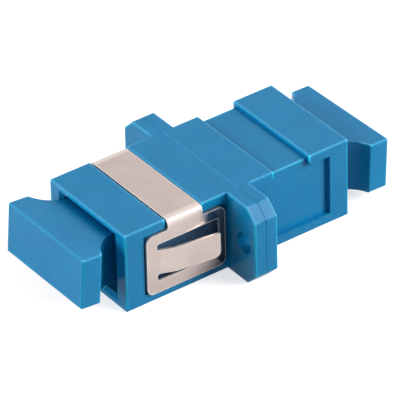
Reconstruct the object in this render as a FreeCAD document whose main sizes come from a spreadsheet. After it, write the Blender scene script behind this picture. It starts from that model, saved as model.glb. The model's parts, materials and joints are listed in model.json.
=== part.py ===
"""SC fibre adapter: two welded housing halves, sleeve holders, split sleeve, spring clip and dust caps.

Frame: the origin is on the port axis at the weld seam, +X runs along the ports to the half without
the clip, +Z is up through the wide face that carries the band of the clip.  Lengths are in mm.
"""
import FreeCAD, Part
import Sketcher
import math
import os
import re

SIZES = {
    # moulded housing, one half from the weld seam to its mouth
    "HousingLength": 27.8,
    "HousingWidth": 12.8,
    "HousingHeight": 9.2,
    "EdgeRound": 0.13,
    "SeamChamfer": 0.04,
    "FlangeWidth": 22.2,
    "FlangeThickness": 2.8,
    "FlangeCorner": 1.4,
    "ScrewInset": 1.9,
    "ScrewHole": 2.3,
    "PortSideWall": 1.9,
    "PortFloorWall": 0.9,
    "PortLeadIn": 0.4,
    "KeywayWidth": 4.4,
    "KeywayDepth": 0.4,
    "KeywayLength": 7.0,
    "MouthCollar": 2.3,
    "RecessLedge": 1.1,
    "RecessDepth": 0.5,
    "ChannelWidth": 4.5,
    "ChannelSetback": 2.6,
    "ChannelDepth": 0.5,
    # split alignment sleeve and the 2.5 mm ferrule that it takes
    "SleeveBore": 2.5,
    "SleeveWall": 0.35,
    "SleeveLength": 11.4,
    "SleeveSlit": 0.45,
    # sleeve holder: plate clamped at the seam, tube, and two latch hooks
    "PlateSideWall": 1.2,
    "PlateFloorWall": 0.6,
    "PlateThickness": 1.0,
    "PlateClearance": 0.05,
    "SleeveClearance": 0.05,
    "SleeveEndPlay": 0.05,
    "TubeDiameter": 4.6,
    "TubeEndWall": 1.1,
    "FerruleEntry": 2.9,
    "EntryChamfer": 0.3,
    "HookClearance": 0.15,
    "HookThickness": 0.7,
    "HookHeight": 4.2,
    "HookReach": 7.8,
    "HookTooth": 0.5,
    "HookToothLength": 0.9,
    # spring clip, one folded sheet
    "ClipSheet": 0.25,
    "ClipBandDrop": 0.1,
    "ClipBandNearPlay": 0.05,
    "ClipBandFarPlay": 0.2,
    "ClipBendRadius": 0.6,
    "ClipTopGap": 0.14,
    "ClipLedgeLap": 0.15,
    "ClipFlangeGap": 0.4,
    "ClipCollarGap": 0.15,
    "ClipCorner": 0.8,
    "ClipNeckRound": 0.25,
    "ClipStrip": 0.8,
    "TongueWidth": 2.85,
    "TongueCentre": -0.04,
    "TongueTipGap": 0.7,
    "TongueRootAngle": 22.0,
    "TongueRootRun": 1.45,
    "TongueAngle": 8.3,
    "TongueKneeRound": 3.0,
    "TongueTopCorner": 0.15,
    "TongueLowCorner": 0.7,
    "TongueRootGap": 1.7,
    "SlotAbove": 0.75,
    "SlotBelow": 0.75,
    "SlotTip": 0.45,
    "SlotTipRound": 0.25,
    # dust cap
    "CapHeadOverhang": 0.075,
    "CapHeadThickness": 2.28,
    "CapHeightPlay": 0.825,
    "CapNeckPlay": 0.6,
    "CapFlareAngle": 68.5,
    "CapFlareRound": 3.6,
    "CapNeckReach": 4.4,
    "CapEdgeRound": 0.2,
    "ProngThickness": 0.65,
    "ProngClearance": 0.06,
    "ProngGrip": 2.3,
    "ProngRootGap": 0.4,
    "ClipCapProjection": 5.3,
    "ClipCapPitch": -4.4,
    "ClipCapYaw": 0.0,
    "PlainCapProjection": 5.15,
    "PlainCapPitch": 2.4,
    "PlainCapYaw": 1.5,
}

# places worked out from the sizes above; those along the ports are measured from the weld seam
PLACES = {
    "HalfLength": "HousingLength / 2",
    "HalfWidth": "HousingWidth / 2",
    "HalfHeight": "HousingHeight / 2",
    "EarFace": "FlangeThickness / 2",
    "RecessEnd": "HalfLength - MouthCollar",
    "RecessTop": "HousingHeight / 2 - RecessLedge",
    "ChannelStart": "RecessEnd - ChannelSetback - ChannelWidth",
    "ChannelEnd": "RecessEnd - ChannelSetback",
    "ChannelFloor": "HousingHeight / 2 - ChannelDepth",
    "ScrewPlace": "FlangeWidth / 2 - ScrewInset",
    "PortWidth": "HousingWidth - 2 * PortSideWall",
    "PortHeight": "HousingHeight - 2 * PortFloorWall",
    "PlateWidth": "HousingWidth - 2 * PlateSideWall",
    "PlateHeight": "HousingHeight - 2 * PlateFloorWall",
    "SleeveDiameter": "SleeveBore + 2 * SleeveWall",
    "HolderBore": "SleeveDiameter + 2 * SleeveClearance",
    "HolderBoreDepth": "SleeveLength / 2 + SleeveEndPlay",
    "TubeEnd": "HolderBoreDepth + TubeEndWall",
    "HookOuter": "PortWidth / 2 - HookClearance",
    "HookInner": "PortWidth / 2 - HookClearance - HookThickness",
    "HookEnd": "PlateThickness + HookReach",
    "ClipInner": "HousingWidth / 2",
    "ClipOuter": "HousingWidth / 2 + ClipSheet",
    "ClipTop": "HousingHeight / 2 - ClipBandDrop",
    "ClipPlateTop": "RecessTop - ClipTopGap",
    "ClipPlateBottom": "-RecessTop - ClipLedgeLap",
    "ClipStart": "EarFace + ClipFlangeGap",
    "ClipEnd": "RecessEnd - ClipCollarGap",
    "WindowStart": "ClipStart + ClipStrip",
    "TongueRoot": "ClipEnd - TongueRootGap",
    "TongueKnee": "TongueRoot - TongueRootRun",
    "TongueKneeRise": "ClipInner + TongueRootRun * tan(TongueRootAngle)",
    "TongueTip": "WindowStart + TongueTipGap",
    "TongueTipRise": "TongueKneeRise + (TongueKnee - TongueTip) * tan(TongueAngle)",
    "TongueMitre": "ClipSheet / cos((TongueRootAngle - TongueAngle) / 2)",
    "TongueMitreAngle": "(TongueRootAngle + TongueAngle) / 2",
    "TongueTop": "TongueCentre + TongueWidth / 2",
    "TongueBottom": "TongueCentre - TongueWidth / 2",
    "CapPivot": "TubeEnd - ProngGrip / 2",
    "CapHeadWidth": "HousingWidth + 2 * CapHeadOverhang",
    "CapHeight": "PortHeight - 2 * CapHeightPlay",
    "CapNeckWidth": "PortWidth - 2 * CapNeckPlay",
    "ProngInner": "TubeDiameter / 2 + ProngClearance",
    "ProngOuter": "ProngInner + ProngThickness",
}

NEAR = 1e-4  # distance under which two coordinates are the same

doc = FreeCAD.newDocument("ScAdapter")
sheet = doc.addObject("Spreadsheet::Sheet", "Sizes")


def fill_sheet():
    for row, (alias, number) in enumerate(SIZES.items(), start=1):
        sheet.set(f"A{row}", alias)
        sheet.set(f"B{row}", str(number))
        sheet.setAlias(f"B{row}", alias)
    doc.recompute()


def bound(rule):
    """Turns a rule written with size and place names into an expression on the sheet's cells."""
    def cell(match):
        word = match.group(0)
        return f"({bound(PLACES[word])})" if word in PLACES else f"Sizes.{word}"
    return re.sub(r"[A-Z][A-Za-z]+", cell, str(rule))


def value(rule):
    result = sheet.evalExpression(bound(rule))
    return float(getattr(result, "Value", result))


def new_body(name):
    body = doc.addObject("PartDesign::Body", name)
    body.Label = name
    return body


def origin_plane(body, role):
    return next(item for item in body.Origin.OriginFeatures if item.Role == role)


def sketch_on(body, name, role, offset="0"):
    """Sketch on an origin plane; YZ looks along +X, XZ looks along +Y, XY looks down -Z."""
    sketch = body.newObject("Sketcher::SketchObject", name)
    sketch.AttachmentSupport = [(origin_plane(body, role), "")]
    sketch.MapMode = "FlatFace"
    sketch.setExpression("AttachmentOffset.Base.z", bound(offset))
    return sketch


def place_point(sketch, line, point, x_rule, y_rule):
    for kind, rule in (("DistanceX", x_rule), ("DistanceY", y_rule)):
        constraint = Sketcher.Constraint(kind, -1, 1, line, point, value(rule))
        number = sketch.addConstraint(constraint)
        sketch.setExpression(f"Constraints[{number}]", bound(rule))


def outline(sketch, corners):
    """Closed outline of straight lines whose corners are (x, y) pairs of rules."""
    spots = [FreeCAD.Vector(value(x), value(y), 0) for x, y in corners]
    first = sketch.GeometryCount
    for start, end in zip(spots, spots[1:] + spots[:1]):
        sketch.addGeometry(Part.LineSegment(start, end), False)
    for number, (x_rule, y_rule) in enumerate(corners):
        line = first + number
        before = first + (number - 1) % len(corners)
        sketch.addConstraint(Sketcher.Constraint("Coincident", before, 2, line, 1))
        place_point(sketch, line, 1, x_rule, y_rule)


def rectangle(sketch, left, right, bottom, top):
    outline(sketch, [(left, bottom), (right, bottom), (right, top), (left, top)])


def centred_rectangle(sketch, width, height):
    rectangle(sketch, f"-({width}) / 2", f"({width}) / 2", f"-({height}) / 2", f"({height}) / 2")


def circle(sketch, diameter, x_rule="0", y_rule="0"):
    centre = FreeCAD.Vector(value(x_rule), value(y_rule), 0)
    number = sketch.addGeometry(Part.Circle(centre, FreeCAD.Vector(0, 0, 1), value(diameter) / 2), False)
    place_point(sketch, number, 3, x_rule, y_rule)
    constraint = sketch.addConstraint(Sketcher.Constraint("Diameter", number, value(diameter)))
    sketch.setExpression(f"Constraints[{constraint}]", bound(diameter))


def pad(body, sketch, length, symmetric=False):
    feature = body.newObject("PartDesign::Pad", sketch.Name + "Pad")
    feature.Profile = sketch
    feature.setExpression("Length", bound(length))
    feature.Midplane = symmetric
    doc.recompute()
    return feature


def cut(body, sketch, length, symmetric=False, forward=False):
    """Pocket that removes material behind the sketch, or in front of it when forward is set."""
    volume = body.Shape.Volume
    feature = body.newObject("PartDesign::Pocket", sketch.Name + "Cut")
    feature.Profile = sketch
    feature.setExpression("Length", bound(length))
    feature.Midplane = symmetric
    feature.Reversed = forward
    doc.recompute()
    if body.Shape.Volume > volume - NEAR:
        raise RuntimeError(f"{feature.Name} cuts nothing")
    return feature


def mirror(body, feature, role="XZ_Plane"):
    copy = body.newObject("PartDesign::Mirrored", feature.Name + "Mirror")
    copy.Originals = [feature]
    copy.MirrorPlane = (origin_plane(body, role), [""])
    body.Tip = copy
    doc.recompute()
    return copy


def edges_where(shape, test):
    return [f"Edge{n}" for n, edge in enumerate(shape.Edges, start=1) if test(edge)]


def same(first, second):
    return abs(first - second) < NEAR


def lies_at(edge, axis, place):
    """True where the whole edge is at one place along the axis, on either side of the origin."""
    box = edge.BoundBox
    low, high = getattr(box, axis + "Min"), getattr(box, axis + "Max")
    return same(low, high) and same(abs(low), place)


def reach(edge, axis):
    box = edge.BoundBox
    return max(abs(getattr(box, axis + "Min")), abs(getattr(box, axis + "Max")))


def runs_along(edge, axis):
    """True for a straight edge parallel to the axis named X, Y or Z."""
    others = [other for other in "XYZ" if other != axis]
    box = edge.BoundBox
    return all(same(getattr(box, other + "Min"), getattr(box, other + "Max")) for other in others)


def dress(body, kind, name, amount, test):
    """Fillet or chamfer on the edges of the tip that pass the test."""
    feature = body.newObject("PartDesign::" + kind, name)
    base = feature.BaseFeature or body.Tip
    names = edges_where(base.Shape, test)
    if not names:
        raise RuntimeError(f"{name} finds no edges")
    feature.Base = (base, names)
    feature.setExpression("Radius" if kind == "Fillet" else "Size", bound(amount))
    doc.recompute()
    if not feature.isValid():
        raise RuntimeError(f"{name} can't be made on {len(names)} edges")
    return feature


# ---------------------------------------------------------------- housing halves

def housing_shell(body):
    """Rectangular half with the ear flange at the seam, both flush at top and bottom."""
    block = sketch_on(body, "Block", "YZ_Plane")
    centred_rectangle(block, "HousingWidth", "HousingHeight")
    pad(body, block, "HalfLength")
    ears = sketch_on(body, "Ears", "YZ_Plane")
    side, shoulder = "FlangeWidth / 2", "FlangeWidth / 2 - FlangeCorner"
    top, knee = "HalfHeight", "HalfHeight - FlangeCorner"
    outline(ears, [
        (shoulder, f"-({top})"), (side, f"-({knee})"), (side, knee), (shoulder, top),
        (f"-({shoulder})", top), (f"-({side})", knee), (f"-({side})", f"-({knee})"),
        (f"-({shoulder})", f"-({top})"),
    ])
    pad(body, ears, "EarFace")


def housing_cavities(body):
    """Port with its lead-in, keyway under it, seat of the holder's plate and the screw holes."""
    port = sketch_on(body, "Port", "YZ_Plane")
    centred_rectangle(port, "PortWidth", "PortHeight")
    cut(body, port, "HalfLength", forward=True)
    mouth, side = value("HalfLength"), value("HalfWidth")
    dress(body, "Chamfer", body.Name + "LeadIn", "PortLeadIn",
          lambda edge: lies_at(edge, "X", mouth) and reach(edge, "Y") < side - NEAR)
    keyway = sketch_on(body, "Keyway", "YZ_Plane", "HalfLength")
    rectangle(keyway, "-KeywayWidth / 2", "KeywayWidth / 2", "-PortHeight / 2 - KeywayDepth", "0")
    cut(body, keyway, "KeywayLength")
    seat = sketch_on(body, "PlateSeat", "YZ_Plane")
    centred_rectangle(seat, "PlateWidth + 2 * PlateClearance", "PlateHeight + 2 * PlateClearance")
    cut(body, seat, "PlateThickness", forward=True)
    screws = sketch_on(body, "ScrewHoles", "YZ_Plane")
    circle(screws, "ScrewHole", "ScrewPlace")
    circle(screws, "ScrewHole", "-ScrewPlace")
    cut(body, screws, "EarFace", forward=True)


def housing_clip_seats(body):
    """Channel across the top and the recess of each side, which break into each other."""
    channel = sketch_on(body, "Channel", "XZ_Plane")
    rectangle(channel, "ChannelStart", "ChannelEnd", "ChannelFloor", "HalfHeight + ChannelDepth")
    cut(body, channel, "2 * HousingWidth", symmetric=True)
    recess = sketch_on(body, "SideRecess", "XZ_Plane", "HalfWidth")
    above, low, high = "HalfHeight + ChannelDepth", "-RecessTop", "RecessTop"
    outline(recess, [
        ("EarFace", low), ("RecessEnd", low), ("RecessEnd", high), ("ChannelEnd", high),
        ("ChannelEnd", above), ("ChannelStart", above), ("ChannelStart", high), ("EarFace", high),
    ])
    mirror(body, cut(body, recess, "RecessDepth"))


def housing_edges(body):
    """Moulding radii on the outside and the fine groove along the seam."""
    length, side, top = value("HalfLength"), value("HalfWidth"), value("HalfHeight")
    ear, steps = value("EarFace"), (value("ChannelStart"), value("ChannelEnd"))

    def outside(edge):
        mouth = lies_at(edge, "X", length) and (lies_at(edge, "Y", side) or lies_at(edge, "Z", top))
        corner = lies_at(edge, "Y", side) and lies_at(edge, "Z", top)
        channel = lies_at(edge, "Z", top) and any(lies_at(edge, "X", step) for step in steps)
        past_side = reach(edge, "Y") > side + NEAR and not isinstance(edge.Curve, Part.Circle)
        ear_rim = past_side and (lies_at(edge, "X", ear) or runs_along(edge, "X"))
        return mouth or corner or channel or ear_rim

    def seam(edge):
        past_port = reach(edge, "Y") > side + NEAR or lies_at(edge, "Z", top)
        return lies_at(edge, "X", 0) and past_port and not isinstance(edge.Curve, Part.Circle)

    dress(body, "Fillet", body.Name + "Outside", "EdgeRound", outside)
    dress(body, "Chamfer", body.Name + "Seam", "SeamChamfer", seam)


def housing(name, turn):
    body = new_body(name)
    housing_shell(body)
    housing_cavities(body)
    housing_clip_seats(body)
    housing_edges(body)
    body.Placement = turned(turn)
    return body


def turned(yaw, pitch=0, place=0):
    """Placement for a piece built pointing along +X: yaw 180 points it at the clip's end."""
    heading = FreeCAD.Rotation(yaw, pitch, 0)
    outward = math.cos(math.radians(yaw))
    return FreeCAD.Placement(FreeCAD.Vector(math.copysign(place, outward), 0, 0), heading)


# ---------------------------------------------------------------- sleeve and its holders

def sleeve_holder(name, turn):
    """Half of the holder: clamped plate, tube with a ferrule entry, and two latch hooks."""
    body = new_body(name)
    plate = sketch_on(body, "HolderPlate", "YZ_Plane")
    centred_rectangle(plate, "PlateWidth", "PlateHeight")
    pad(body, plate, "PlateThickness")
    tube = sketch_on(body, "HolderTube", "YZ_Plane")
    circle(tube, "TubeDiameter")
    pad(body, tube, "TubeEnd")
    hook = sketch_on(body, "Hook", "XY_Plane")
    root, tooth, tip = "PlateThickness / 2", "HookEnd - HookToothLength", "HookInner - HookTooth"
    outline(hook, [
        (root, "HookInner"), (tooth, "HookInner"), (tooth, tip),
        ("HookEnd - HookToothLength / 2", tip), ("HookEnd", "HookInner"),
        ("HookEnd", "HookOuter"), (root, "HookOuter"),
    ])
    mirror(body, pad(body, hook, "HookHeight", symmetric=True))
    bore = sketch_on(body, "SleeveBore", "YZ_Plane")
    circle(bore, "HolderBore")
    cut(body, bore, "HolderBoreDepth", forward=True)
    entry = sketch_on(body, "FerruleEntry", "YZ_Plane")
    circle(entry, "FerruleEntry")
    cut(body, entry, "TubeEnd", forward=True)
    end, half_entry = value("TubeEnd"), value("FerruleEntry / 2")
    dress(body, "Chamfer", body.Name + "Entry", "EntryChamfer",
          lambda edge: lies_at(edge, "X", end) and same(reach(edge, "Y"), half_entry))
    body.Placement = turned(turn)
    return body


def split_sleeve():
    """Ceramic C-shaped sleeve, centred on the seam, with its slit upwards."""
    body = new_body("split_sleeve")
    ring = sketch_on(body, "Ring", "YZ_Plane")
    circle(ring, "SleeveDiameter")
    circle(ring, "SleeveBore")
    pad(body, ring, "SleeveLength", symmetric=True)
    slit = sketch_on(body, "Slit", "YZ_Plane")
    rectangle(slit, "-SleeveSlit / 2", "SleeveSlit / 2", "0", "SleeveDiameter")
    cut(body, slit, "2 * SleeveLength", symmetric=True)
    return body


# ---------------------------------------------------------------- spring clip

def clip_channel(body):
    """The folded sheet before it is trimmed: one band over the top and a plate down each side."""
    strip = sketch_on(body, "Folded", "YZ_Plane", "ClipStart")
    inner_top = "ClipTop - ClipSheet"
    outline(strip, [
        ("-ClipOuter", "ClipPlateBottom"), ("-ClipInner", "ClipPlateBottom"),
        ("-ClipInner", inner_top), ("ClipInner", inner_top), ("ClipInner", "ClipPlateBottom"),
        ("ClipOuter", "ClipPlateBottom"), ("ClipOuter", "ClipTop"), ("-ClipOuter", "ClipTop"),
    ])
    pad(body, strip, "ClipEnd - ClipStart")
    top, inner_top = value("ClipTop"), value("ClipTop - ClipSheet")
    outer, inner = value("ClipOuter"), value("ClipInner")
    dress(body, "Fillet", "OuterBends", "ClipBendRadius",
          lambda edge: lies_at(edge, "Z", top) and lies_at(edge, "Y", outer))
    dress(body, "Fillet", "InnerBends", "ClipBendRadius - ClipSheet",
          lambda edge: lies_at(edge, "Z", inner_top) and lies_at(edge, "Y", inner))


def clip_trim(body):
    """Narrows the band to its channel, opens the windows and rounds the plates' corners."""
    start, end = "ChannelStart + ClipBandNearPlay", "ChannelEnd - ClipBandFarPlay"
    above = "ClipTop + ClipSheet"
    for name, left, right in (("TrimInner", "0", start), ("TrimOuter", end, "HalfLength")):
        trim = sketch_on(body, name, "XZ_Plane")
        rectangle(trim, left, right, "ClipPlateTop", above)
        cut(body, trim, "2 * HousingWidth", symmetric=True)
    window = sketch_on(body, "Window", "XZ_Plane")
    near, root, tips = "WindowStart", "TongueRoot", "TongueRoot + SlotTip"
    low, high = "TongueBottom - SlotBelow", "TongueTop + SlotAbove"
    outline(window, [
        (near, low), (tips, low), (tips, "TongueBottom"), (root, "TongueBottom"),
        (root, "TongueTop"), (tips, "TongueTop"), (tips, high), (near, high),
    ])
    cut(body, window, "2 * HousingWidth", symmetric=True)
    first, last = value("ClipStart"), value("ClipEnd")
    band = (value(start), value(end))
    plate_top = value("ClipPlateTop")

    def plate_corner(edge):
        return runs_along(edge, "Y") and (lies_at(edge, "X", first) or lies_at(edge, "X", last))

    def neck_corner(edge):
        at_band = any(lies_at(edge, "X", place) for place in band)
        return runs_along(edge, "Y") and at_band and lies_at(edge, "Z", plate_top)

    dress(body, "Fillet", "PlateCorners", "ClipCorner", plate_corner)
    tips_place = value(tips)
    dress(body, "Fillet", "NeckCorners", "ClipNeckRound", neck_corner)
    dress(body, "Fillet", "SlotTips", "SlotTipRound",
          lambda edge: runs_along(edge, "Y") and lies_at(edge, "X", tips_place))


def clip_tongues(body):
    """Sprung tongues bent out of the windows, whose free ends face the flange."""
    tongue = sketch_on(body, "Tongue", "XY_Plane", "TongueBottom")
    end_outer = "TongueTip + ClipSheet * sin(TongueAngle)"
    outline(tongue, [
        ("TongueRoot", "ClipInner"), ("TongueKnee", "TongueKneeRise"), ("TongueTip", "TongueTipRise"),
        (end_outer, "TongueTipRise + ClipSheet * cos(TongueAngle)"),
        ("TongueKnee + TongueMitre * sin(TongueMitreAngle)",
         "TongueKneeRise + TongueMitre * cos(TongueMitreAngle)"),
        ("TongueRoot + ClipSheet * tan(TongueRootAngle / 2)", "ClipOuter"),
    ])
    mirror(body, pad(body, tongue, "TongueWidth"))
    free_end, outer = value(end_outer), value("ClipOuter")
    knee = (value("TongueKnee"), value("TongueKnee + TongueMitre * sin(TongueMitreAngle)"))

    def free_corner(place):
        def test(edge):
            box = edge.BoundBox
            level = same(box.ZMin, place) and same(box.ZMax, place)
            return level and box.XMax < free_end + NEAR and reach(edge, "Y") > outer + NEAR
        return test

    dress(body, "Fillet", "TongueKnees", "TongueKneeRound",
          lambda edge: runs_along(edge, "Z") and any(lies_at(edge, "X", place) for place in knee))
    dress(body, "Fillet", "TongueTopCorners", "TongueTopCorner", free_corner(value("TongueTop")))
    dress(body, "Fillet", "TongueLowCorners", "TongueLowCorner", free_corner(value("TongueBottom")))


def retaining_clip():
    body = new_body("retaining_clip")
    clip_channel(body)
    clip_trim(body)
    clip_tongues(body)
    body.Placement = turned(180)
    return body


# ---------------------------------------------------------------- dust caps

def dust_cap(name, projection, turn, pitch):
    """Flat T moulding: wide grip that flares from the neck, and two prongs that straddle the tube.

    It is built with x = 0 at the middle of the prongs' grip, about which the cap sits cocked.
    """
    body = new_body(name)
    profile = sketch_on(body, "Profile", "XY_Plane")
    face = f"HalfLength + {projection} - CapPivot"
    shoulder = f"{face} - CapHeadThickness"
    throat = f"{shoulder} - (CapHeadWidth - CapNeckWidth) / 2 / tan(CapFlareAngle)"
    step = "HalfLength - CapNeckReach - CapPivot"
    crotch = "TubeEnd + ProngRootGap - CapPivot"
    half = [
        (face, "CapHeadWidth / 2"), (shoulder, "CapHeadWidth / 2"), (throat, "CapNeckWidth / 2"),
        (step, "CapNeckWidth / 2"), (step, "ProngOuter"), ("-ProngGrip / 2", "ProngOuter"),
        ("-ProngGrip / 2", "ProngInner"), (crotch, "ProngInner"),
    ]
    outline(profile, half + [(x, f"-({y})") for x, y in reversed(half)])
    pad(body, profile, "CapHeight", symmetric=True)
    waist = (value(throat), value("CapNeckWidth / 2"))
    dress(body, "Fillet", body.Name + "Flare", "CapFlareRound",
          lambda edge: lies_at(edge, "X", waist[0]) and lies_at(edge, "Y", waist[1]))
    outer_face, width = value(face), value("CapHeadWidth / 2")

    def grip_edge(edge):
        corner = runs_along(edge, "Z") and lies_at(edge, "Y", width)
        rim = lies_at(edge, "X", outer_face) or (lies_at(edge, "Y", width) and runs_along(edge, "X"))
        return corner or rim

    dress(body, "Fillet", body.Name + "Grip", "CapEdgeRound", grip_edge)
    body.Placement = turned(turn, pitch, value("CapPivot"))
    return body


# ---------------------------------------------------------------- the whole adapter

def check_document():
    broken = [item.Name for item in doc.Objects if {"Invalid", "Error"} & set(item.State)]
    if broken:
        raise RuntimeError("failed: " + ", ".join(broken))


def export(bodies):
    os.makedirs("parts", exist_ok=True)
    for body in bodies:
        shape = body.Shape
        if shape.isNull() or not shape.isValid() or len(shape.Solids) != 1:
            raise RuntimeError(f"{body.Label} is not one valid solid")
    for body in bodies:
        body.Shape.exportStep(f"parts/{body.Label}.step")
        print(f"{body.Label}: {body.Shape.Volume:.2f} mm3")


def main():
    fill_sheet()
    bodies = [
        housing("housing_clip_half", 180),
        housing("housing_plain_half", 0),
        sleeve_holder("sleeve_holder_clip_half", 180),
        sleeve_holder("sleeve_holder_plain_half", 0),
        split_sleeve(),
        retaining_clip(),
        dust_cap("dust_cap_clip_end", "ClipCapProjection",
                 180 + value("ClipCapYaw"), value("ClipCapPitch")),
        dust_cap("dust_cap_plain_end", "PlainCapProjection",
                 value("PlainCapYaw"), value("PlainCapPitch")),
    ]
    doc.recompute()
    check_document()
    export(bodies)


main()
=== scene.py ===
"""Looks of the SC fibre adapter: materials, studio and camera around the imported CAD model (metres)."""
import json
import math

import bpy
from mathutils import Matrix, Vector


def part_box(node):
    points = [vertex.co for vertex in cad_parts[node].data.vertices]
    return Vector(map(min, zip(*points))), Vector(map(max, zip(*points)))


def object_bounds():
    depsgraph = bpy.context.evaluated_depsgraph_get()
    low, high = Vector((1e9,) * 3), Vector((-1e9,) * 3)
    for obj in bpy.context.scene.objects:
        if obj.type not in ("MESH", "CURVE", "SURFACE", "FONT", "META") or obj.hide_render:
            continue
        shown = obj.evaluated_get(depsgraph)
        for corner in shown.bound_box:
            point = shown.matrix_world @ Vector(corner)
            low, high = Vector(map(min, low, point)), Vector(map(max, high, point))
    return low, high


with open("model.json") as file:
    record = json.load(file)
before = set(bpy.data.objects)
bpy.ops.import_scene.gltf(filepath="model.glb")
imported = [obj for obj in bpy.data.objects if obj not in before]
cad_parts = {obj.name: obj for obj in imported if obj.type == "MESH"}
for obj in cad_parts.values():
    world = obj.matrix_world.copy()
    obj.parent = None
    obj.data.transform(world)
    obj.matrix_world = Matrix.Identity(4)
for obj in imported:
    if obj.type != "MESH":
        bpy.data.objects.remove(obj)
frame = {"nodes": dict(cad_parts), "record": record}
CAD_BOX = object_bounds()

MM = 0.001

# ---------------------------------------------------------------- camera

CAMERA_AZIMUTH = -35.57      # degrees, 0 looks along +Y
CAMERA_ELEVATION = 34.65
CAMERA_ROLL = -1.45
CAMERA_DISTANCE = 505.0      # mm from the seam's middle
CAMERA_ASIDE = (0.04, 0.32)  # mm that the view is moved right and up
SENSOR_WIDTH = 36.0
LENS = 450.0


def make_camera():
    azimuth, elevation = math.radians(CAMERA_AZIMUTH), math.radians(CAMERA_ELEVATION)
    roll = math.radians(CAMERA_ROLL)
    back = Vector((math.sin(azimuth) * math.cos(elevation),
                   -math.cos(azimuth) * math.cos(elevation), math.sin(elevation)))
    level = Vector((math.cos(azimuth), math.sin(azimuth), 0))
    up = back.cross(level)
    right = level * math.cos(roll) + up * math.sin(roll)
    top = up * math.cos(roll) - level * math.sin(roll)
    data = bpy.data.cameras.new("camera")
    data.sensor_width = SENSOR_WIDTH
    data.lens = LENS
    data.clip_start, data.clip_end = 0.01, 10.0
    camera = bpy.data.objects.new("camera", data)
    bpy.context.scene.collection.objects.link(camera)
    place = back * CAMERA_DISTANCE - right * CAMERA_ASIDE[0] - top * CAMERA_ASIDE[1]
    turn = Matrix((right, top, back)).transposed().to_4x4()
    camera.matrix_world = Matrix.Translation(place * MM) @ turn
    bpy.context.scene.camera = camera


# ---------------------------------------------------------------- node helpers

class Nodes:
    """Short calls for building one material's node tree."""

    def __init__(self, name):
        self.material = bpy.data.materials.new(name)
        self.material.use_nodes = True
        self.tree = self.material.node_tree
        self.tree.nodes.clear()
        self.output = self.tree.nodes.new("ShaderNodeOutputMaterial")

    def add(self, kind, inputs=None, **settings):
        node = self.tree.nodes.new("ShaderNode" + kind)
        for key, setting in settings.items():
            setattr(node, key, setting)
        for key, source in (inputs or {}).items():
            self.put(source, node.inputs[key])
        return node

    def put(self, source, socket):
        if isinstance(source, bpy.types.NodeSocket):
            self.tree.links.new(source, socket)
        else:
            socket.default_value = source

    def coordinates(self, stretch=(1, 1, 1)):
        """Object coordinates in millimetres, squeezed along each axis by the stretch."""
        place = self.add("TexCoord").outputs["Object"]
        scale = tuple(1 / (MM * factor) for factor in stretch)
        return self.add("Mapping", {"Vector": place, "Scale": scale}).outputs["Vector"]

    def along(self, axis, coordinates):
        return self.add("SeparateXYZ", {"Vector": coordinates}).outputs[axis]

    def within(self, axis, coordinates, low, high, soft=0.15):
        """1 between two places along an axis (mm), 0 outside them."""
        middle, reach = (low + high) / 2, (high - low) / 2
        off = self.math("ABSOLUTE", self.math("SUBTRACT", self.along(axis, coordinates), middle))
        return self.to_range(off, 1.0, 0.0, reach - soft, reach + soft)

    def noise(self, coordinates, scale, detail=3.0, roughness=0.5):
        inputs = {"Vector": coordinates, "Scale": scale, "Detail": detail, "Roughness": roughness}
        return self.add("TexNoise", inputs).outputs["Fac"]

    def to_range(self, source, low, high, start=0.0, end=1.0):
        inputs = {"Value": source, "From Min": start, "From Max": end, "To Min": low, "To Max": high}
        return self.add("MapRange", inputs).outputs["Result"]

    def math(self, operation, first, second=0.0):
        node = self.add("Math", operation=operation)
        self.put(first, node.inputs[0])
        self.put(second, node.inputs[1])
        return node.outputs["Value"]

    def mix(self, factor, first, second):
        node = self.add("Mix", data_type="RGBA")
        self.put(factor, node.inputs["Factor"])
        self.put(first, node.inputs["A"])
        self.put(second, node.inputs["B"])
        return node.outputs["Result"]

    def bump(self, height, distance, strength=1.0, normal=None):
        inputs = {"Height": height, "Distance": distance * MM, "Strength": strength}
        if normal is not None:
            inputs["Normal"] = normal
        return self.add("Bump", inputs).outputs["Normal"]

    def edge_mask(self, radius, start, end):
        """1 along outward corners within the radius (mm), 0 on flat faces and in hollows."""
        depth = self.add("AmbientOcclusion", {"Distance": radius * MM}, samples=8, inside=True)
        return self.to_range(depth.outputs["AO"], 1.0, 0.0, start, end)

    def facing_up(self, radius):
        """0 where a corner rounded by the radius (mm) would look down, 1 where it looks level or up."""
        rounded = self.add("Bevel", {"Radius": radius * MM}, samples=4).outputs["Normal"]
        return self.to_range(self.along("Z", rounded), 0.0, 1.0, -0.25, -0.12)

    def upright(self, radius):
        """1 where a corner rounded by the radius (mm) looks level, 0 where it looks up or down."""
        rounded = self.add("Bevel", {"Radius": radius * MM}, samples=4).outputs["Normal"]
        tilt = self.math("ABSOLUTE", self.along("Z", rounded))
        return self.to_range(tilt, 1.0, 0.0, 0.15, 0.4)

    def within_box(self, coordinates, low, high):
        """1 inside the box (mm), 0 outside it."""
        inside = self.within("X", coordinates, low[0], high[0])
        inside = self.math("MULTIPLY", inside, self.within("Y", coordinates, low[1], high[1]))
        return self.math("MULTIPLY", inside, self.within("Z", coordinates, low[2], high[2]))

    def hollow_mask(self, radius, start, end):
        """1 in inward corners within the radius (mm), 0 on open faces."""
        room = self.add("AmbientOcclusion", {"Distance": radius * MM}, samples=8)
        return self.to_range(room.outputs["AO"], 1.0, 0.0, start, end)

    def finish(self, shader_inputs):
        shader = self.add("BsdfPrincipled", shader_inputs)
        self.tree.links.new(shader.outputs["BSDF"], self.output.inputs["Surface"])
        return self.material


def colour(red, green, blue):
    """Linear colour with alpha from 0 to 255 screen values."""
    def linear(level):
        level /= 255
        return level / 12.92 if level <= 0.04045 else ((level + 0.055) / 1.055) ** 2.4
    return (linear(red), linear(green), linear(blue), 1.0)


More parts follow.
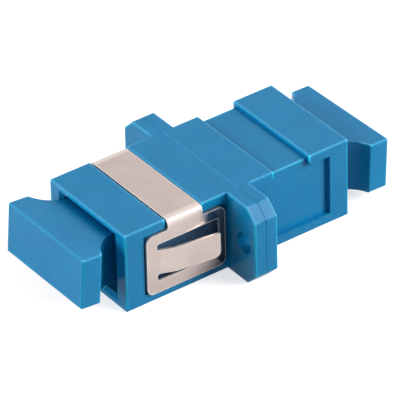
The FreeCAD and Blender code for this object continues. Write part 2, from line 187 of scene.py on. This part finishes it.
# ---------------------------------------------------------------- places

def both_sides(x_span, y_span, z_span):
    """Two boxes (mm) from spans along X, outwards along Y and along Z: one at +Y, one at -Y."""
    spans = (y_span, (-y_span[1], -y_span[0]))
    return [((x_span[0], low, z_span[0]), (x_span[1], high, z_span[1])) for low, high in spans]


BLOCK_SIDE = 6.5                 # just past the block's sides, so that only the ears lie outside
SIDE_SKIN = (5.6, 6.9)           # the outermost layer of the block's sides

# boxes (mm) whose edges get no painted highlight: round the screw holes, in the side recesses, and the
# caps inwards of their heads
SCREW_HOLES = both_sides((-2.0, 2.0), (7.4, 10.9), (-1.8, 1.8))
SIDE_RECESSES = (both_sides((-12.2, -1.5), SIDE_SKIN, (-4.2, 3.95))
                 + both_sides((1.5, 12.2), SIDE_SKIN, (-4.2, 3.95)))
CAP_NECKS = [((-16.5, -8.0, -6.0), (16.5, 8.0, 6.0))]

# the clip's two folds, which the bending tool leaves duller and which get a painted highlight, and the
# painted shade and dark reflection on its side plates by the ear
CLIP_FOLDS = both_sides((-12.0, 0.0), (5.75, 6.75), (3.75, 4.7))
CLIP_FLAT = (6.75, 6.9)          # |Y| between which the side plates end and the tongues stand out
CLIP_BY_EAR = (-7.0, -3.0)       # X between which the painted shade sets in, towards the ear


def clip_window_shades():
    """Boxes (mm) in the clip half's sides behind the clip's windows, where shade is painted dark."""
    low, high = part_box("retaining_clip")
    return both_sides((low.x / MM + 1.6, high.x / MM - 0.5), (5.0, 6.3), (-2.6, 2.6))


# ---------------------------------------------------------------- materials

HOUSING_TONES = (colour(15, 121, 171), colour(15, 127, 177))
CAP_TONES = (colour(15, 122, 174), colour(15, 129, 180))
HOLDER_TONES = (colour(2, 106, 156), colour(5, 112, 162))
# painted highlight along upward-facing edges, also the tone of the painted light along the seam groove
EDGE_HIGHLIGHT_TONE = colour(104, 206, 250)
UPRIGHT_HIGHLIGHT_TONE = colour(20, 225, 255)   # painted highlight along upright corners
# painted shade in inward corners and hollows
HOLLOW_SHADE_TONE = colour(0, 88, 138)
HOUSING_HOLLOW_SHADE_TONE = colour(0, 118, 174)  # painted shade in its hollows, which are shallow and open
# painted shade behind the clip's windows
WINDOW_SHADE_TONE = (0.055, 0.115, 0.205, 1.0)
STEEL_TONES = (colour(198, 181, 175), colour(208, 192, 186))
STEEL_STREAK = colour(186, 171, 166)
# painted shade and dark reflection on the side plates by the ear
STEEL_EAR_SHADE = colour(34, 38, 62)
# the cut edges: duller, and painted pale as a glint
STEEL_SHEARED_GLINT = colour(240, 236, 232)
# painted highlight on the clip's folds
STEEL_FOLD_HIGHLIGHT = colour(236, 224, 216)
CERAMIC_TONES = (colour(236, 232, 220), colour(246, 244, 236))

SEAM_CLEAR = (0.3, 0.45)         # painted highlights and painted shade set in between these distances from the seam (mm)
SEAM_REACH = 0.06                # half the width of the painted light along the seam groove (mm)
SEAM_SOFT = 0.04
SEAM_LIGHTENING = 0.35                # how far the seam groove on the block is painted towards the highlight tone, to lighten its shade
EDGE_REACH = 0.3                 # how far the painted highlight reaches from a corner (mm)
CROWD_REACH = 0.5                # an edge with something nearer than this gets no painted highlight (mm)
# how strongly the folds are painted pale as a highlight, and how rough and dull they are
FOLD_HIGHLIGHT, FOLD_ROUGHNESS, FOLD_DULLNESS = 0.7, 0.4, 0.45
EAR_SHADE_REACH = 3.0              # how far from the ear the side plates get painted shade (mm)


def cloudy(nodes, place, scale, detail, tones):
    """The tone that drifts between two tones in soft clouds."""
    cloud = nodes.noise(place, scale, detail=detail)
    return nodes.mix(nodes.to_range(cloud, 0.0, 1.0, 0.3, 0.7), *tones)


def edge_highlights(nodes, place, off_seam, unhighlighted):
    """1 along edges that get a painted highlight, 0 on faces, under the part and in the unhighlighted
    boxes.
    """
    highlighted = nodes.math("MULTIPLY", nodes.edge_mask(EDGE_REACH, 0.5, 0.92), off_seam)
    highlighted = nodes.math("MULTIPLY", highlighted, nodes.facing_up(EDGE_REACH))
    crowded = nodes.hollow_mask(CROWD_REACH, 0.86, 0.98)
    highlighted = nodes.math("MULTIPLY", highlighted, nodes.math("SUBTRACT", 1.0, crowded))
    for low, high in unhighlighted:
        kept = nodes.math("SUBTRACT", 1.0, nodes.within_box(place, low, high))
        highlighted = nodes.math("MULTIPLY", highlighted, kept)
    return highlighted


def seam_groove_light(nodes, place):
    """Painted light along the seam groove across the block's top and bottom, which lightens the groove's
    shade.
    """
    line = nodes.math("MULTIPLY", nodes.within("X", place, -SEAM_REACH, SEAM_REACH, SEAM_SOFT),
                      nodes.within("Y", place, -BLOCK_SIDE, BLOCK_SIDE))
    return nodes.math("MULTIPLY", line, SEAM_LIGHTENING)


def moulded_plastic(name, tones, hollow_shade, roughness, shade_reach, unhighlighted=(), window_shades=()):
    """Satin injection moulding: fine grain, faint flow marks, painted highlights along edges, painted shade
    in the hollows and behind the clip's windows, and painted light along the seam.
    """
    nodes = Nodes(name)
    place = nodes.coordinates()
    tone = cloudy(nodes, place, 0.22, 4.0, tones)
    off_seam = nodes.math("ABSOLUTE", nodes.along("X", place))
    off_seam = nodes.to_range(off_seam, 0.0, 1.0, *SEAM_CLEAR)
    # painted highlight along the edges, brighter along upright corners
    edge = nodes.mix(nodes.upright(EDGE_REACH), EDGE_HIGHLIGHT_TONE, UPRIGHT_HIGHLIGHT_TONE)
    tone = nodes.mix(edge_highlights(nodes, place, off_seam, unhighlighted), tone, edge)
    # painted shade in inward corners and hollows
    shaded_hollows = nodes.math("MULTIPLY", nodes.hollow_mask(shade_reach, 0.4, 0.9), off_seam)
    tone = nodes.mix(shaded_hollows, tone, hollow_shade)
    # painted light along the seam groove, against its shade
    tone = nodes.mix(seam_groove_light(nodes, place), tone, EDGE_HIGHLIGHT_TONE)
    # painted shade behind the clip's windows
    for low, high in window_shades:
        tone = nodes.mix(nodes.within_box(place, low, high), tone, WINDOW_SHADE_TONE)
    grain = nodes.noise(place, 9.0, detail=3.0, roughness=0.6)
    pits = nodes.noise(place, 3.0, detail=2.0)
    rough = nodes.to_range(nodes.noise(place, 0.6), roughness - 0.05, roughness + 0.05, 0.3, 0.7)
    fine = nodes.bump(grain, 0.0003, 0.3)
    normal = nodes.bump(pits, 0.0007, 0.25, fine)
    return nodes.finish({"Base Color": tone, "Roughness": rough, "Normal": normal, "IOR": 1.5,
                         "Specular IOR Level": 0.25})


def spring_steel(name):
    """Nickel-plated strip: rolling marks, cloudy plating, duller cut edges painted pale as glints, dull
    folds with a painted highlight, painted shade and dark reflection by the ear.
    """
    nodes = Nodes(name)
    rolled = nodes.noise(nodes.coordinates((1.0, 9.0, 9.0)), 14.0, detail=4.0, roughness=0.6)
    place = nodes.coordinates()
    tone = cloudy(nodes, place, 0.35, 3.0, STEEL_TONES)
    streak = nodes.to_range(rolled, 0.0, 0.25, 0.45, 0.75)
    tone = nodes.mix(streak, tone, STEEL_STREAK)
    flat = nodes.to_range(nodes.math("ABSOLUTE", nodes.along("Y", place)), 1.0, 0.0, *CLIP_FLAT)
    by_ear = nodes.to_range(nodes.along("X", place), 0.0, 1.0, *CLIP_BY_EAR)
    plate = nodes.math("MULTIPLY", flat, by_ear)
    # painted shade and dark reflection on the side plates, towards the ear
    ear_shaded = nodes.math("MULTIPLY", nodes.hollow_mask(EAR_SHADE_REACH, 0.5, 0.9), plate)
    tone = nodes.mix(ear_shaded, tone, STEEL_EAR_SHADE)
    # the cut edges: rougher and duller, and painted pale as a glint
    cut_edge_glint = nodes.edge_mask(0.2, 0.5, 0.85)
    tone = nodes.mix(cut_edge_glint, tone, STEEL_SHEARED_GLINT)
    folds = [nodes.within_box(place, low, high) for low, high in CLIP_FOLDS]
    folded = nodes.math("MAXIMUM", *folds)
    # painted highlight on the folds
    tone = nodes.mix(nodes.math("MULTIPLY", folded, FOLD_HIGHLIGHT), tone, STEEL_FOLD_HIGHLIGHT)
    rough = nodes.to_range(rolled, 0.13, 0.2, 0.3, 0.7)
    rough = nodes.math("MAXIMUM", rough, nodes.math("MULTIPLY", cut_edge_glint, 0.5))
    rough = nodes.math("MAXIMUM", rough, nodes.math("MULTIPLY", folded, FOLD_ROUGHNESS))
    scratch = nodes.bump(rolled, 0.002, 0.5)
    ripple = nodes.bump(nodes.noise(place, 0.5, detail=1.0), 0.03, 0.3, scratch)
    duller = nodes.math("MAXIMUM", cut_edge_glint, nodes.math("MULTIPLY", folded, FOLD_DULLNESS))
    metallic = nodes.math("SUBTRACT", 1.0, nodes.math("MULTIPLY", duller, 0.7))
    return nodes.finish({"Base Color": tone, "Metallic": metallic, "Roughness": rough, "Normal": ripple})


def zirconia(name):
    """Ground ceramic: warm white, glossy, with fine grinding rings round the sleeve."""
    nodes = Nodes(name)
    rings = nodes.noise(nodes.coordinates((1.0, 40.0, 40.0)), 20.0, detail=2.0)
    tone = cloudy(nodes, nodes.coordinates(), 0.8, 3.0, CERAMIC_TONES)
    rough = nodes.to_range(rings, 0.14, 0.24, 0.3, 0.7)
    normal = nodes.bump(rings, 0.0008, 0.4)
    return nodes.finish({"Base Color": tone, "Roughness": rough, "Normal": normal, "IOR": 2.1})


def dress_nodes():
    housing = moulded_plastic("housing_plastic", HOUSING_TONES, HOUSING_HOLLOW_SHADE_TONE, 0.28, 0.5,
                              SCREW_HOLES + SIDE_RECESSES, clip_window_shades())
    cap = moulded_plastic("cap_plastic", CAP_TONES, HOLLOW_SHADE_TONE, 0.30, 1.5, CAP_NECKS)
    holder = moulded_plastic("holder_plastic", HOLDER_TONES, HOLLOW_SHADE_TONE, 0.40, 0.5)
    finishes = {"housing": housing, "holder": holder, "cap": cap,
                "clip": spring_steel("clip_steel"), "sleeve": zirconia("sleeve_zirconia")}
    for part in frame["record"]["subparts"]:
        node = frame["nodes"][part["node"]]
        node.data.materials.clear()
        node.data.materials.append(finishes[part["material_slot"]])
        for face in node.data.polygons:
            face.material_index = 0


# ---------------------------------------------------------------- studio

FLOOR_HALF = 3.0      # m
FLOOR_DROP = 0.02 * MM  # the floor lies this far under the part, so that their faces don't meet
FLOOR_BOUNCE = 0.12   # what the floor throws back at the object
CAMERA_GLOW = 0.28    # more of it for the camera alone
FLOOR_GLOW = 0.33     # added to the floor where it is seen, so that it is white
FILL_STRENGTH = 0.2   # what the world throws on the object


def mesh_object(name, corners, faces):
    mesh = bpy.data.meshes.new(name)
    mesh.from_pydata(corners, [], faces)
    made = bpy.data.objects.new(name, mesh)
    bpy.context.scene.collection.objects.link(made)
    return made


def seen_directly(add, link):
    """1 for the rays that should meet the white backdrop: camera, glossy and transmission rays."""
    path = add("LightPath")
    first = add("Math")
    first.operation = "MAXIMUM"
    link(path.outputs["Is Camera Ray"], first.inputs[0])
    link(path.outputs["Is Glossy Ray"], first.inputs[1])
    second = add("Math")
    second.operation = "MAXIMUM"
    link(first.outputs[0], second.inputs[0])
    link(path.outputs["Is Transmission Ray"], second.inputs[1])
    return second.outputs[0]


def floor_material():
    nodes = Nodes("floor")
    seen = seen_directly(nodes.add, nodes.tree.links.new)
    mottle = nodes.noise(nodes.coordinates(), 0.02)
    pale = nodes.mix(mottle, (0.80, 0.80, 0.80, 1), (0.82, 0.82, 0.82, 1))
    tone = nodes.mix(seen, (FLOOR_BOUNCE, FLOOR_BOUNCE, FLOOR_BOUNCE, 1), pale)
    camera = nodes.add("LightPath").outputs["Is Camera Ray"]
    glow = nodes.math("ADD", nodes.math("MULTIPLY", camera, CAMERA_GLOW),
                      nodes.math("MULTIPLY", seen, FLOOR_GLOW))
    return nodes.finish({"Base Color": tone, "Roughness": 0.8, "Specular IOR Level": 0.0,
                         "Emission Color": (1, 1, 1, 1), "Emission Strength": glow})


def make_floor():
    low = CAD_BOX[0].z - FLOOR_DROP
    corners = [(x * FLOOR_HALF, y * FLOOR_HALF, low) for x, y in ((-1, -1), (1, -1), (1, 1), (-1, 1))]
    floor = mesh_object("floor", corners, [(0, 1, 2, 3)])
    floor.data.materials.append(floor_material())


def make_world():
    world = bpy.data.worlds.new("studio")
    bpy.context.scene.world = world
    world.use_nodes = True
    tree = world.node_tree
    tree.nodes.clear()
    output = tree.nodes.new("ShaderNodeOutputWorld")
    seen = seen_directly(lambda kind: tree.nodes.new("ShaderNode" + kind), tree.links.new)
    fill = tree.nodes.new("ShaderNodeBackground")
    fill.inputs["Color"].default_value = (1, 1, 1, 1)
    fill.inputs["Strength"].default_value = FILL_STRENGTH
    shown = tree.nodes.new("ShaderNodeBackground")
    shown.inputs["Color"].default_value = (1, 1, 1, 1)
    shown.inputs["Strength"].default_value = 1.0
    mix = tree.nodes.new("ShaderNodeMixShader")
    tree.links.new(seen, mix.inputs[0])
    tree.links.new(fill.outputs[0], mix.inputs[1])
    tree.links.new(shown.outputs[0], mix.inputs[2])
    tree.links.new(mix.outputs[0], output.inputs["Surface"])


def area_light(name, place, size, watts, mirrored):
    """Square softbox facing the origin; where it isn't mirrored, it only lights."""
    data = bpy.data.lights.new(name, "AREA")
    data.shape = "SQUARE"
    data.size = size
    data.energy = watts
    lamp = bpy.data.objects.new(name, data)
    bpy.context.scene.collection.objects.link(lamp)
    place = Vector(place)
    turn = place.to_track_quat("Z", "Y").to_matrix().to_4x4()
    lamp.matrix_world = Matrix.Translation(place) @ turn
    lamp.visible_glossy = mirrored


# lamps: name, place (m), side (m), power (W), and whether shiny surfaces mirror them
LAMPS = [
    ("key", (0.287, -0.341, 0.401), 0.30, 1.45, True),
    ("front_right", (0.42, -0.38, 0.19), 0.32, 3.1, False),
    ("back_left", (-0.51, 0.26, 0.17), 0.46, 4.0, False),
    ("front_left", (-0.44, -0.40, 0.16), 0.40, 0.6, False),
]


def make_studio():
    make_floor()
    make_world()
    for lamp in LAMPS:
        area_light(*lamp)


make_camera()
dress_nodes()
make_studio()

view_settings = bpy.context.scene.view_settings
view_settings.view_transform = "Standard"
